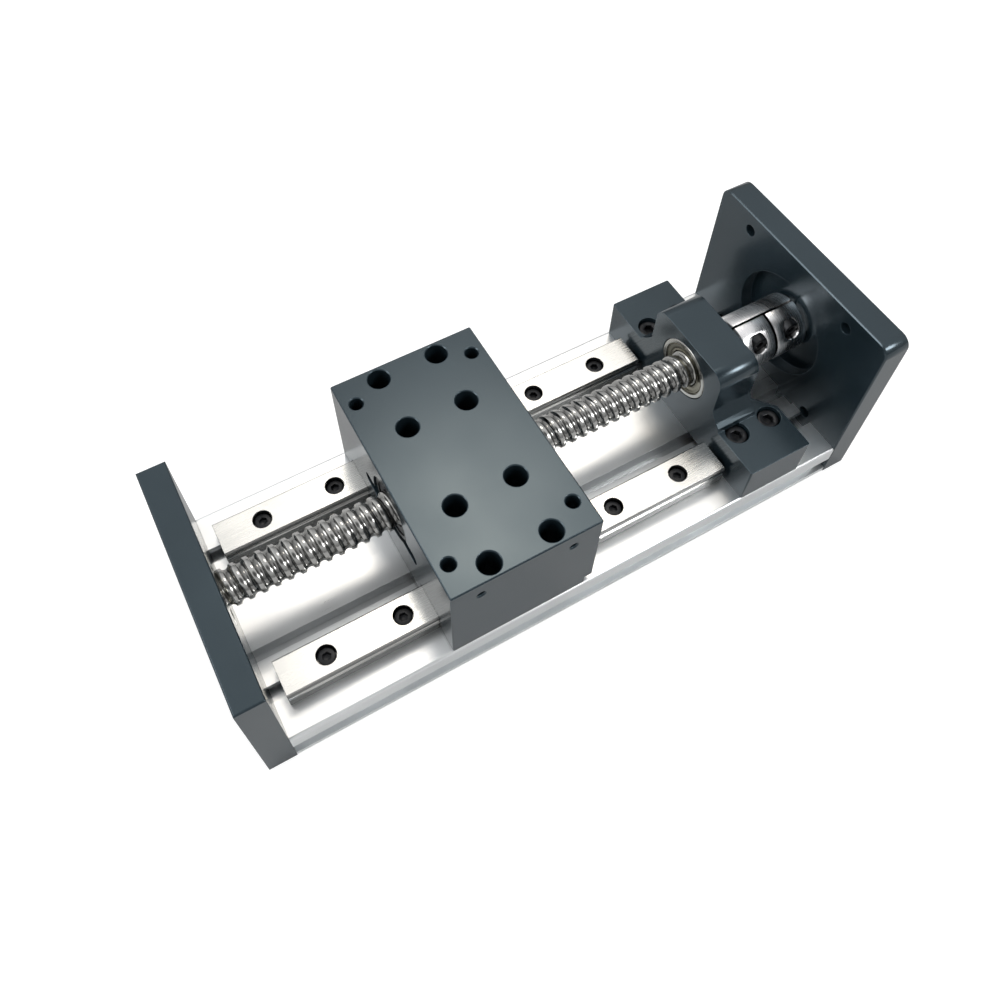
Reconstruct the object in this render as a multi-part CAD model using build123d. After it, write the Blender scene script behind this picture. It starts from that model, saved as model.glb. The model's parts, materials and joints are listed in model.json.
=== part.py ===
from build123d import *
import os

# Ball screw sliding table.
# An extruded base carries two profile rails, an idler plate at one end, a motor plate at
# the other and a bearing block before the motor plate. A ball screw runs between the two
# ends and drives a table that rides on one long carriage per rail.
# X runs along the screw towards the motor plate, Y away from the near side, Z upwards.
# The origin is the middle of the base's underside. Lengths are millimetres.

# Base extrusion
base_length = 200.0
base_width = 80.0
base_height = 15.0
base_edge_round = 0.9
plateau_width = 20.6
drain_width = 3.3
drain_depth = 5.0
ledge_width = 4.6
ledge_drop = 1.5
side_groove_depth = 3.0
side_groove_bottom = 2.7
side_groove_height = 5.9
slot_opening = 5.0
slot_lip = 1.8
slot_cavity_width = 9.0
slot_cavity_depth = 3.4
slot_cavity_corner = 0.5
cell_wall = 2.2
inner_core_offset = 6.0

# Plates at both ends
plate_thickness = 9.0
idler_plate_height = 53.0
motor_plate_height = 70.0
motor_plate_corner = 4.0
plate_edge_break = 0.4
plate_screw_thread = 4.0
plate_screw_grip = 10.0
plate_screw_sink = 4.6

# Profile rails
rail_spacing = 50.0
rail_width = 12.0
rail_height = 8.0
rail_edge = 0.5
rail_gap = 4.2
rail_end_gap = 1.7
rail_pitch = 25.0
rail_least_margin = 10.0
rail_thread = 3.0
rail_counterbore_radius = 3.15
rail_counterbore_depth = 4.4
raceway_height = 5.3
raceway_offset = 0.2
raceway_radius = 1.25

# Slot nut strips
strip_thickness = 2.8
strip_side_gap = 0.3
strip_end_gap = 2.0

# Carriages
carriage_width = 27.0
carriage_rise = 3.0
carriage_height = 10.0
carriage_body_length = 32.4
carriage_channel_gap = 0.35
carriage_edge = 0.6
cap_length = 5.5
cap_inset = 0.3
seal_thickness = 1.0
seal_gap = 0.15
carriage_pattern = 20.0
carriage_thread = 3.0
carriage_thread_depth = 3.6

# Table block
table_place = -22.5
table_height = 39.0
table_underside_gap = 0.5
table_side_gap = 0.4
table_end_wall = 1.7
table_edge_break = 0.35
pocket_end_gap = 0.1
pocket_side_gap = 0.15
rail_channel_gap = 0.4
table_counterbore_radius = 3.5
table_counterbore_floor = 5.0
corner_spacing_x = 40.0
corner_spacing_y = 60.0
corner_hole_radius = 2.1
corner_hole_depth = 12.0
side_hole_spacing = 30.0
side_hole_drop = 6.7
side_hole_radius = 1.25
side_hole_depth = 8.0
end_slot_width = 35.0
end_slot_height = 5.0
end_slot_drop = 5.0
end_slot_depth = 4.0
heel_relief_length = 3.0
heel_relief_height = 3.7

# Ball screw and nut
screw_height = 25.0
screw_radius = 6.0
screw_edge = 0.5
nut_radius = 11.0
nut_length = 40.0
nut_bore_gap = 0.1
nut_end_inset = 0.6
nut_edge = 0.6
nut_pocket_gap = 0.05
wiper_radius = 9.0
wiper_thickness = 2.6
wiper_seat_gap = 0.4
wiper_bore_gap = 0.25
set_screw_thread = 4.0
set_screw_length = 10.0
set_screw_socket_radius = 1.0
set_screw_spacing = 24.0
set_screw_tip_gap = 0.05

# Bearings
bearing_radius = 11.0
bearing_width = 7.0
journal_radius = 4.0
inner_land_radius = 6.2
outer_land_radius = 9.4
ring_edge = 0.4
shield_thickness = 0.4
shield_inset = 0.35
shield_gap = 0.25
idler_relief_radius = 8.0

# Bearing block before the motor plate
bearing_web = 1.0
bearing_web_radius = 9.0
tower_half_width = 17.2
tower_height = 39.0
tower_edge_round = 5.0
flare_start_height = 22.6
flare_end_height = 18.8
flare_half_width = 20.1
ledge_height = 17.5
ledge_half_width = 21.7
tower_foot_half_width = 22.2
foot_depth = 23.6
foot_height = 16.0
foot_corner = 0.5
foot_side_gap = 0.3
foot_inner_half_width = 16.8
foot_inner_depth = 18.3
foot_cut_half_width = 23.0
block_screw_thread = 4.0
block_screw_first = 5.6
block_screw_pitch = 13.0
block_counterbore_radius = 4.0
block_counterbore_depth = 5.3
lock_nut_width = 13.0
lock_nut_thickness = 2.5

# Shaft coupling
coupling_radius = 10.0
coupling_length = 25.0
coupling_reach = 3.5
coupling_gap = 3.1
coupling_edge = 0.6
coupling_slit = 0.9
coupling_slit_place = 0.5
coupling_cross_slit_depth = 16.0
coupling_shaft_reach = 11.7
motor_shaft_radius = 3.175
clamp_thread = 3.0
clamp_rise = 6.3
clamp_seat = 4.6
clamp_shank = 10.0
clamp_margin = 6.0
clamp_counterbore_gap = 0.25

# Motor mounting
motor_pattern = 47.14
motor_hole_radius = 2.1
motor_pilot_radius = 19.05
motor_pilot_depth = 2.5
motor_web = 2.0
motor_shaft_hole_radius = 7.0

# Socket head screws: the head grows with the thread
head_share = 0.75
head_margin = 0.5
socket_share = 0.4
socket_depth_share = 0.5
thread_gap = 0.02
through_gap = 0.2
tiny = 0.01

# Places along X
base_end = base_length / 2
coupling_end = base_end + coupling_reach
coupling_start = coupling_end - coupling_length
tower_depth = 2 * bearing_width + bearing_web
block_front = coupling_start - coupling_gap - tower_depth
rail_start = rail_gap - base_end
rail_end = block_front - rail_end_gap
rail_length = rail_end - rail_start
rail_count = int((rail_length - 2 * rail_least_margin) // rail_pitch) + 1
rail_margin = (rail_length - (rail_count - 1) * rail_pitch) / 2
carriage_length = carriage_body_length + 2 * (cap_length + seal_thickness)
table_length = carriage_length + 2 * (pocket_end_gap + table_end_wall)
table_start = table_place - table_length / 2
table_end = table_place + table_length / 2

# Places across Y
rail_y = rail_spacing / 2
table_half_width = base_width / 2 - table_side_gap
ledge_outer = plateau_width / 2 + drain_width + ledge_width
slot_outer = rail_y + slot_cavity_width / 2
outer_core_offset = (slot_outer + base_width / 2 - side_groove_depth) / 2

# Heights along Z
axis_z = base_height + screw_height
lip_underside = base_height - slot_lip
rail_seat = base_height + rail_height - rail_counterbore_depth
carriage_bottom = base_height + carriage_rise
carriage_top = carriage_bottom + carriage_height
table_bottom = base_height + table_underside_gap
table_top = table_bottom + table_height
table_seat = carriage_top + table_counterbore_floor
foot_top = base_height + foot_height
foot_seat = foot_top - block_counterbore_depth

sides = (-1, 1)
rail_screw_places = [rail_start + rail_margin + i * rail_pitch for i in range(rail_count)]
block_screw_places = [block_front + block_screw_first + i * block_screw_pitch for i in range(2)]
carriage_screw_places = [
    (table_place + i * carriage_pattern / 2, j * rail_y + k * carriage_pattern / 2)
    for i in sides
    for j in sides
    for k in sides
]
plate_screw_places = [side * offset for side in sides for offset in (inner_core_offset, outer_core_offset)]
clamp_screw_places = [coupling_start + clamp_margin, coupling_end - clamp_margin]


def block(x, y, z):
    """A box given by its two limits along each axis."""
    return Pos(sum(x) / 2, sum(y) / 2, sum(z) / 2) * Box(x[1] - x[0], y[1] - y[0], z[1] - z[0])


def rod_x(radius, x, y=0.0, z=axis_z):
    """A round bar along X between two places."""
    return Pos(sum(x) / 2, y, z) * Rot(0, 90, 0) * Cylinder(radius, x[1] - x[0])


def rod_y(radius, y, x, z):
    """A round bar along Y between two places."""
    return Pos(x, sum(y) / 2, z) * Rot(90, 0, 0) * Cylinder(radius, y[1] - y[0])


def rod_z(radius, z, x, y):
    """A round bar along Z between two heights."""
    return Pos(x, y, sum(z) / 2) * Cylinder(radius, z[1] - z[0])


def along_x(section, x):
    """Extrudes a section drawn in Y and Z between two places along X."""
    return extrude(Plane.YZ.offset(x[0]) * section, x[1] - x[0])


def patch(y, z):
    """A flat rectangle in Y and Z for the sections that run along X."""
    return Pos(sum(y) / 2, sum(z) / 2) * Rectangle(y[1] - y[0], z[1] - z[0])


def turned(points, x):
    """Turns a closed outline of axial and radial points about the screw axis."""
    outline = make_face(Polyline(*[(place, radius) for place, radius in points], close=True))
    return Pos(x, 0, axis_z) * revolve(Plane.XZ * outline, Axis.X)


def head_radius(thread):
    """Radius of a socket head for a thread of this size."""
    return head_share * thread + head_margin


def socket_screw(thread, length):
    """A socket head screw along Z: the head stands on Z = 0 and the shank hangs below."""
    head = Pos(0, 0, thread / 2) * Cylinder(head_radius(thread), thread)
    shank = Pos(0, 0, -length / 2) * Cylinder(thread / 2, length)
    socket_depth = thread * socket_depth_share
    hexagon = Pos(0, 0, thread - socket_depth) * RegularPolygon(socket_share * thread, 6, major_radius=False)
    return head + shank - extrude(hexagon, socket_depth)


def tapped(thread):
    """Radius of a hole that holds one of the table's own screws."""
    return thread / 2 + thread_gap


def write(name, shape):
    """Writes one node."""
    shape.label = name
    export_step(shape, f"parts/{name}.step")


def group(pieces):
    """Several separate solids that share one node."""
    return Compound(children=[piece.solid() for piece in pieces])


def base_section():
    """The extrusion's outline with its slots, drains, ledges and inner cells."""
    half = base_width / 2
    body = Pos(0, base_height / 2) * RectangleRounded(base_width, base_height, base_edge_round)
    cuts = []
    for side in sides:
        drain = (side * plateau_width / 2, side * (plateau_width / 2 + drain_width))
        cuts.append(patch(sorted(drain), (base_height - drain_depth, base_height)))
        ledge = (drain[1], side * ledge_outer)
        cuts.append(patch(sorted(ledge), (base_height - ledge_drop, base_height)))
        groove = (side * half, side * (half - side_groove_depth))
        cuts.append(patch(sorted(groove), (side_groove_bottom, side_groove_bottom + side_groove_height)))
        cell = (drain[0], side * (rail_y - slot_cavity_width / 2 - cell_wall))
        cuts.append(patch(sorted(cell), (cell_wall, base_height - drain_depth - cell_wall)))
        opening = (side * rail_y - slot_opening / 2, side * rail_y + slot_opening / 2)
        cavity = (side * rail_y - slot_cavity_width / 2, side * rail_y + slot_cavity_width / 2)
        for lip, wall in ((lip_underside, base_height), (slot_lip, 0)):
            deep = lip + (slot_cavity_depth if wall == 0 else -slot_cavity_depth)
            cuts.append(patch(opening, sorted((lip, wall))))
            room = patch(cavity, sorted((lip, deep)))
            far_corners = room.vertices().filter_by(lambda corner, deep=deep: abs(corner.Y - deep) < tiny)
            cuts.append(chamfer(far_corners, slot_cavity_corner))
    for place in plate_screw_places:
        cuts.append(Pos(place, base_height / 2) * Circle(tapped(plate_screw_thread)))
    return body - cuts


def base_profile():
    """The extruded base."""
    return along_x(base_section(), (-base_end, base_end))


def plate_screws(side):
    """The four screws that hold one end plate to the base."""
    seat = side * (base_end + plate_thickness - plate_screw_sink)
    length = plate_thickness - plate_screw_sink + plate_screw_grip
    screw = socket_screw(plate_screw_thread, length)
    return group([Pos(seat, y, base_height / 2) * Rot(0, side * 90, 0) * screw for y in plate_screw_places])


def plate_screw_holes(side):
    """Counterbored holes of one end plate."""
    outer = side * (base_end + plate_thickness)
    inner = side * base_end
    seat = outer - side * plate_screw_sink
    holes = []
    for y in plate_screw_places:
        holes.append(rod_x(plate_screw_thread / 2 + through_gap, sorted((inner, outer)), y, base_height / 2))
        sink_radius = head_radius(plate_screw_thread) + through_gap
        holes.append(rod_x(sink_radius, sorted((seat, outer)), y, base_height / 2))
    return holes


def idler_end_plate():
    """Plate at the far end from the motor, with a blind seat for the idler bearing."""
    outer = -base_end - plate_thickness
    plate = block((outer, -base_end), (-base_width / 2, base_width / 2), (0, idler_plate_height))
    plate = chamfer(plate.edges().group_by(Axis.Z)[-1], plate_edge_break)
    seat = rod_x(bearing_radius, (-base_end - bearing_width, -base_end))
    relief = rod_x(idler_relief_radius, (outer, -base_end))
    return plate - [seat, relief] - plate_screw_holes(-1)


def motor_end_plate():
    """Plate that takes a flange motor: pilot seat, shaft hole, coupling relief and four tapped holes."""
    outer = base_end + plate_thickness
    plate = block((base_end, outer), (-base_width / 2, base_width / 2), (0, motor_plate_height))
    plate = fillet(plate.edges().filter_by(Axis.X).group_by(Axis.Z)[-1], motor_plate_corner)
    top_edges = plate.faces().sort_by(Axis.X)[0].edges().group_by(Axis.Z)[-1]
    plate = chamfer(top_edges, plate_edge_break)
    pilot = rod_x(motor_pilot_radius, (outer - motor_pilot_depth, outer))
    relief = rod_x(motor_pilot_radius, (base_end, outer - motor_pilot_depth - motor_web))
    shaft_hole = rod_x(motor_shaft_hole_radius, (base_end, outer))
    taps = []
    for across in sides:
        for up in sides:
            place = (across * motor_pattern / 2, axis_z + up * motor_pattern / 2)
            taps.append(rod_x(motor_hole_radius, (base_end, outer), *place))
    return plate - [pilot, relief, shaft_hole] - taps - plate_screw_holes(1)


def ball_grooves():
    """The two round grooves that rail and carriage share, in the rail's section."""
    offset = rail_width / 2 + raceway_offset
    return [Pos(side * offset, raceway_height) * Circle(raceway_radius) for side in sides]


def rail_section():
    """Rail profile with a ball groove on each side."""
    body = Pos(0, rail_height / 2) * Rectangle(rail_width, rail_height)
    body = chamfer(body.vertices(), rail_edge)
    return body - ball_grooves()


def rail(side):
    """One profile rail with its counterbored screw holes."""
    bar = along_x(Pos(side * rail_y, base_height) * rail_section(), (rail_start, rail_end))
    top = base_height + rail_height
    holes = []
    for x in rail_screw_places:
        holes.append(rod_z(rail_thread / 2 + through_gap, (base_height, top), x, side * rail_y))
        holes.append(rod_z(rail_counterbore_radius, (rail_seat, top), x, side * rail_y))
    return bar - holes


def rail_screws():
    """Screws of both rails, down into the nut strips."""
    screw = socket_screw(rail_thread, rail_seat - lip_underside + strip_thickness)
    return group([Pos(x, side * rail_y, rail_seat) * screw for side in sides for x in rail_screw_places])


def nut_strips(x, places, thread):
    """Threaded strips in both top slots, drawn up against the slot lips."""
    half = slot_cavity_width / 2 - strip_side_gap
    strips = []
    for side in sides:
        middle = side * rail_y
        height = (lip_underside - strip_thickness, lip_underside)
        strip = block(x, (middle - half, middle + half), height)
        strips.append(strip - [rod_z(tapped(thread), height, place, middle) for place in places])
    return group(strips)


def carriage_channel(gap):
    """Space that a carriage piece leaves round its rail."""
    half = rail_width / 2 + gap
    return patch((-half, half), (0, rail_height + gap))


def carriage_outline(inset, channel_gap):
    """Outline of a carriage piece that hooks over its rail."""
    half = carriage_width / 2 - inset
    low = carriage_rise + inset
    high = carriage_rise + carriage_height - inset
    body = patch((-half, half), (low, high))
    return chamfer(body.vertices(), carriage_edge) - carriage_channel(channel_gap)


def carriage(side):
    """Steel body of a carriage with its two ball grooves and four tapped holes."""
    half = carriage_body_length / 2
    section = carriage_outline(0.0, carriage_channel_gap) - ball_grooves()
    body = along_x(Pos(side * rail_y, base_height) * section, (table_place - half, table_place + half))
    depth = (carriage_top - carriage_thread_depth, carriage_top)
    holes = [rod_z(tapped(carriage_thread), depth, x, y) for x, y in carriage_screw_places if y * side > 0]
    return body - holes


def carriage_pieces(inset, gap, near, thickness):
    """Pieces on both ends of both carriages, from a distance off the middle and a thickness."""
    pieces = []
    for side in sides:
        section = Pos(side * rail_y, base_height) * carriage_outline(inset, gap)
        for end in sides:
            x = sorted((table_place + end * near, table_place + end * (near + thickness)))
            pieces.append(along_x(section, x))
    return group(pieces)


def carriage_screws():
    """Screws through the table block into the carriages."""
    screw = socket_screw(carriage_thread, table_counterbore_floor + carriage_thread)
    return group([Pos(x, y, table_seat) * screw for x, y in carriage_screw_places])


def table_body():
    """The whole table with its carriage pockets, nut bore, counterbores and tapped holes."""
    x = (table_start, table_end)
    half = table_half_width
    body = block(x, (-half, half), (table_bottom, table_top))
    body = chamfer(body.edges().group_by(Axis.Z)[-1] + body.edges().filter_by(Axis.Z), table_edge_break)
    pocket_x = (table_start + table_end_wall, table_end - table_end_wall)
    pocket_half = carriage_width / 2 + pocket_side_gap
    channel_half = rail_width / 2 + rail_channel_gap
    channel_top = base_height + rail_height + rail_channel_gap
    cuts = [rod_x(nut_radius + nut_pocket_gap, x)]
    for side in sides:
        middle = side * rail_y
        pocket_y = (middle - pocket_half, middle + pocket_half)
        cuts.append(block(pocket_x, pocket_y, (table_bottom, carriage_top)))
        cuts.append(block(x, (middle - channel_half, middle + channel_half), (table_bottom, channel_top)))
    for hole_x, hole_y in carriage_screw_places:
        cuts.append(rod_z(carriage_thread / 2 + through_gap, (carriage_top, table_seat), hole_x, hole_y))
        cuts.append(rod_z(table_counterbore_radius, (table_seat, table_top), hole_x, hole_y))
    for i in sides:
        for j in sides:
            place = (table_place + i * corner_spacing_x / 2, j * corner_spacing_y / 2)
            cuts.append(rod_z(corner_hole_radius, (table_top - corner_hole_depth, table_top), *place))
    for i in sides:
        for side in sides:
            hole_x = table_place + i * side_hole_spacing / 2
            hole_z = table_top - side_hole_drop
            hole_y = sorted((side * half, side * (half - side_hole_depth)))
            cuts.append(rod_y(side_hole_radius, hole_y, hole_x, hole_z))
    slot = Pos(0, axis_z - end_slot_drop) * SlotOverall(end_slot_width, end_slot_height)
    cuts.append(along_x(slot, (table_start, table_start + end_slot_depth)))
    relief_z = (table_bottom, table_bottom + heel_relief_height)
    cuts.append(block((table_end - heel_relief_length, table_end), (-half, half), relief_z))
    for place in set_screw_places():
        cuts.append(rod_z(tapped(set_screw_thread), (table_bottom, axis_z), place, 0))
    return body - cuts


def table_pieces():
    """The table's block above the carriages and the skirt that hangs round them, flush with each other."""
    body = table_body()
    below = block((table_start, table_end), (-base_width / 2, base_width / 2), (base_height, carriage_top))
    return body - below, body & below


def set_screw_places():
    """Places along X of the two screws that lock the nut."""
    middle = table_start + nut_end_inset + nut_length / 2
    return [middle + i * set_screw_spacing / 2 for i in sides]


def nut_set_screws():
    """Headless screws below the nut, reached from the underside."""
    top = axis_z - nut_radius - set_screw_tip_gap
    socket_depth = set_screw_thread * socket_depth_share
    pieces = []
    for place in set_screw_places():
        body = rod_z(set_screw_thread / 2, (top - set_screw_length, top), place, 0)
        hexagon = RegularPolygon(set_screw_socket_radius, 6, major_radius=False)
        socket = extrude(Pos(place, 0, top - set_screw_length) * hexagon, socket_depth)
        pieces.append(body - socket)
    return group(pieces)


def ball_nut():
    """Cylindrical ball nut with a wiper seat at each end."""
    bore = screw_radius + nut_bore_gap
    seat = wiper_thickness + wiper_seat_gap
    points = [
        (0, wiper_radius),
        (0, nut_radius - nut_edge),
        (nut_edge, nut_radius),
        (nut_length - nut_edge, nut_radius),
        (nut_length, nut_radius - nut_edge),
        (nut_length, wiper_radius),
        (nut_length - seat, wiper_radius),
        (nut_length - seat, bore),
        (seat, bore),
        (seat, wiper_radius),
    ]
    return turned(points, table_start + nut_end_inset)


def nut_wipers():
    """A wiper ring in each end of the nut."""
    bore = screw_radius + wiper_bore_gap
    ring = [(0, bore), (0, wiper_radius), (wiper_thickness, wiper_radius), (wiper_thickness, bore)]
    first = table_start + nut_end_inset + wiper_seat_gap
    last = table_start + nut_end_inset + nut_length - wiper_seat_gap - wiper_thickness
    return group([turned(ring, place) for place in (first, last)])


def ball_screw():
    """Screw shaft: the threaded stretch, the idler journal and the long journal to the coupling."""
    idler_tip = -base_end - bearing_width
    motor_tip = coupling_start + coupling_shaft_reach
    points = [
        (idler_tip, 0),
        (idler_tip, journal_radius - screw_edge),
        (idler_tip + screw_edge, journal_radius),
        (-base_end, journal_radius),
        (-base_end, screw_radius - screw_edge),
        (-base_end + screw_edge, screw_radius),
        (block_front - screw_edge, screw_radius),
        (block_front, screw_radius - screw_edge),
        (block_front, journal_radius),
        (motor_tip - screw_edge, journal_radius),
        (motor_tip, journal_radius - screw_edge),
        (motor_tip, 0),
    ]
    return turned(points, 0)


def bearing_ring(x, inner, outer):
    """One ring of a bearing that starts at x."""
    points = [
        (0, inner),
        (0, outer - ring_edge),
        (ring_edge, outer),
        (bearing_width - ring_edge, outer),
        (bearing_width, outer - ring_edge),
        (bearing_width, inner),
    ]
    return turned(points, x)


def bearing_shields(x):
    """The two thin shields of a bearing that starts at x."""
    bore = inner_land_radius + shield_gap
    rim = outer_land_radius
    ring = [(0, bore), (0, rim), (shield_thickness, rim), (shield_thickness, bore)]
    far = x + bearing_width - shield_inset - shield_thickness
    return [turned(ring, x + shield_inset), turned(ring, far)]


def support_block():
    """Bearing block: a tower with two bearing seats on a wide foot with a cut-away back."""
    tower_x = (block_front, block_front + tower_depth)
    flank = [
        (tower_half_width, tower_height),
        (tower_half_width, flare_start_height),
        (flare_half_width, flare_end_height),
        (ledge_half_width, ledge_height),
        (tower_foot_half_width, foot_height),
        (tower_foot_half_width, 0),
    ]
    outline = flank + [(-y, z) for y, z in reversed(flank)]
    section = Pos(0, base_height) * make_face(Polyline(*outline, close=True))
    section = fillet(section.vertices().group_by(Axis.Y)[-1], tower_edge_round)
    tower = along_x(section, tower_x)
    half = base_width / 2 - foot_side_gap
    back = block_front + foot_depth
    plan = Polyline(
        (block_front, -half),
        (back, -half),
        (back, -foot_cut_half_width),
        (block_front + foot_inner_depth, -foot_inner_half_width),
        (tower_x[1], -foot_inner_half_width),
        (tower_x[1], foot_inner_half_width),
        (block_front + foot_inner_depth, foot_inner_half_width),
        (back, foot_cut_half_width),
        (back, half),
        (block_front, half),
        close=True,
    )
    foot = extrude(Pos(0, 0, base_height) * make_face(plan), foot_height)
    corners = [edge for edge in foot.edges().filter_by(Axis.Z) if abs(abs(edge.center().Y) - half) < tiny]
    foot = fillet(corners, foot_corner)
    cuts = [
        rod_x(bearing_radius, (block_front, block_front + bearing_width)),
        rod_x(bearing_radius, (tower_x[1] - bearing_width, tower_x[1])),
        rod_x(bearing_web_radius, tower_x),
    ]
    for side in sides:
        y = side * rail_y
        for x in block_screw_places:
            cuts.append(rod_z(block_screw_thread / 2 + through_gap, (base_height, foot_top), x, y))
            cuts.append(rod_z(block_counterbore_radius, (foot_seat, foot_top), x, y))
    return tower + foot - cuts


def support_screws():
    """Screws of the bearing block, down into its nut strips."""
    screw = socket_screw(block_screw_thread, foot_seat - lip_underside + strip_thickness)
    return group([Pos(x, side * rail_y, foot_seat) * screw for side in sides for x in block_screw_places])


def lock_nut():
    """Thin hexagon nut that draws the screw's shoulder against the bearings."""
    start = block_front + tower_depth
    hexagon = RegularPolygon(lock_nut_width / 2, 6, major_radius=False) - Circle(journal_radius)
    return along_x(Pos(0, axis_z) * hexagon, (start, start + lock_nut_thickness))


def coupling_body():
    """Clamp coupling with a slit along the top and a cross slit that frees the clamp lips."""
    body = rod_x(coupling_radius, (coupling_start, coupling_end))
    body = chamfer(body.edges().filter_by(GeomType.CIRCLE), coupling_edge)
    middle = (coupling_start + coupling_end) / 2
    slit_y = (coupling_slit_place - coupling_slit / 2, coupling_slit_place + coupling_slit / 2)
    top = axis_z + coupling_radius
    cuts = [
        rod_x(journal_radius, (coupling_start, middle)),
        rod_x(motor_shaft_radius, (middle, coupling_end)),
        block((coupling_start, coupling_end), slit_y, (axis_z, top)),
        block(
            (middle - coupling_slit / 2, middle + coupling_slit / 2),
            (-coupling_radius, slit_y[1]),
            (top - coupling_cross_slit_depth, top),
        ),
    ]
    for x in clamp_screw_places:
        z = axis_z + clamp_rise
        cuts.append(rod_y(tapped(clamp_thread), (-clamp_seat, clamp_shank - clamp_seat), x, z))
        sink = head_radius(clamp_thread) + clamp_counterbore_gap
        cuts.append(rod_y(sink, (-coupling_radius, -clamp_seat), x, z))
    return body - cuts


def coupling_screws():
    """The two clamp screws, across the slit from the near side."""
    screw = Rot(90, 0, 0) * socket_screw(clamp_thread, clamp_shank)
    return group([Pos(x, -clamp_seat, axis_z + clamp_rise) * screw for x in clamp_screw_places])


idler_bearing_start = -base_end - bearing_width
support_bearing_starts = [block_front, block_front + bearing_width + bearing_web]

os.makedirs("parts", exist_ok=True)

# Base and what is fixed to it
write("base_profile", base_profile())
write("idler_end_plate", idler_end_plate())
write("motor_end_plate", motor_end_plate())
write("idler_plate_screws", plate_screws(-1))
write("motor_plate_screws", plate_screws(1))
write("rail_near", rail(-1))
write("rail_far", rail(1))
write("rail_screws", rail_screws())
rail_strip_x = (rail_start + strip_end_gap, rail_end - strip_end_gap)
write("rail_nut_strips", nut_strips(rail_strip_x, rail_screw_places, rail_thread))
write("support_block", support_block())
write("support_screws", support_screws())
block_strip_x = (block_front + strip_end_gap, block_front + foot_depth)
write("support_nut_strips", nut_strips(block_strip_x, block_screw_places, block_screw_thread))

# Bearings: outer rings stand still, inner rings turn with the screw
write("idler_bearing_outer_ring", bearing_ring(idler_bearing_start, outer_land_radius, bearing_radius))
write("idler_bearing_inner_ring", bearing_ring(idler_bearing_start, journal_radius, inner_land_radius))
write("idler_bearing_shields", group(bearing_shields(idler_bearing_start)))
outer_rings = [bearing_ring(x, outer_land_radius, bearing_radius) for x in support_bearing_starts]
inner_rings = [bearing_ring(x, journal_radius, inner_land_radius) for x in support_bearing_starts]
write("support_bearing_outer_rings", group(outer_rings))
write("support_bearing_inner_rings", group(inner_rings))
shields = [shield for x in support_bearing_starts for shield in bearing_shields(x)]
write("support_bearing_shields", group(shields))

# Table and what rides with it
upper, skirt = table_pieces()
write("table_block", upper)
write("table_skirt", skirt)
write("carriage_near", carriage(-1))
write("carriage_far", carriage(1))
cap_start = carriage_body_length / 2
write("carriage_end_caps", carriage_pieces(cap_inset, carriage_channel_gap, cap_start, cap_length))
write("carriage_seals", carriage_pieces(cap_inset, seal_gap, cap_start + cap_length, seal_thickness))
write("carriage_screws", carriage_screws())
write("ball_nut", ball_nut())
write("nut_wipers", nut_wipers())
write("nut_set_screws", nut_set_screws())

# Screw and what turns with it
write("ball_screw", ball_screw())
write("lock_nut", lock_nut())
write("coupling_body", coupling_body())
write("coupling_screws", coupling_screws())
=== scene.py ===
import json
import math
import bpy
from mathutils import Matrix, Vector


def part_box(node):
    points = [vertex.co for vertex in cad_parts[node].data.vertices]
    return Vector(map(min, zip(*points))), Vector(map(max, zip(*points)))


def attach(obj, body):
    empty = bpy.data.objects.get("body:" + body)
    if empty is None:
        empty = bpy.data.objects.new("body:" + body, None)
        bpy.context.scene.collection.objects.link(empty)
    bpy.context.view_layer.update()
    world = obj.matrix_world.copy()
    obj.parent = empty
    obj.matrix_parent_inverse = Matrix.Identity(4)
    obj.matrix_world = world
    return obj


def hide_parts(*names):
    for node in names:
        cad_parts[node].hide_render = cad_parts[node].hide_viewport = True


bl_info = {
    "name": "Ball Screw Sliding Table",
    "version": (1, 0, 0),
    "blender": (4, 5, 0),
    "location": "View3D > Sidebar > Slide",
    "description": "Finishes the pieces of a ball screw sliding table and lights them",
    "category": "Object",
}

import bmesh
import bpy
from bpy.props import FloatProperty, FloatVectorProperty, IntProperty, PointerProperty
from mathutils import Matrix, Vector

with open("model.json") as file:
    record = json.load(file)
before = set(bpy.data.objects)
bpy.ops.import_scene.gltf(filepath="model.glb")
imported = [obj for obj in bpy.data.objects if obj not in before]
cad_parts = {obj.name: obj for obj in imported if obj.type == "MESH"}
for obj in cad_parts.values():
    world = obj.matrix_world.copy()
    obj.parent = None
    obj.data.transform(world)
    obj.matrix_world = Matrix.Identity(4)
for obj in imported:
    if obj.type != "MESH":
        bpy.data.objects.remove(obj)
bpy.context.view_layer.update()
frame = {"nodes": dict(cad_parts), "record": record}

MM = 0.001
TURN = 2 * math.pi
SCREW_LOW, SCREW_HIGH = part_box("ball_screw")
AXIS_Y = (SCREW_LOW.y + SCREW_HIGH.y) / 2
AXIS_Z = (SCREW_LOW.z + SCREW_HIGH.z) / 2
BODIES = frame["record"]["behaviour"]["bodies"]
BODY_OF = {node: body for body, nodes in BODIES.items() for node in nodes}
SLOT_OF = {part["node"]: part["material_slot"] for part in frame["record"]["subparts"]}

# Corners closer than this are one, in the pieces' own meshes and after a modifier or Boolean step
SAME_CORNER = 0.0005 * MM
SAME_POINT = 0.001 * MM
EDGE_BREAK = 0.12 * MM

# Inner and outer wall of the base's drains, from the middle plane, and the blur of the painted shade at
# those walls
DRAIN_INNER = 10.3 * MM
DRAIN_OUTER = 13.6 * MM
WALL_BLUR = 0.03 * MM

# The screw's journals and its ball track, and the bearing shields
JOURNAL_RADIUS = 3.99 * MM
JOURNAL_STEPS = 48
TRACK_STEPS = 9
SHIELD_BORE = 6.45 * MM
SHIELD_STEPS = 72

# Steps round the lead-in cones, and how far a cone stands out of the face that it cuts
MOUTH_STEPS = 48
RIM_STEPS = 64
CONE_EXCESS = 0.3 * MM

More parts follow.
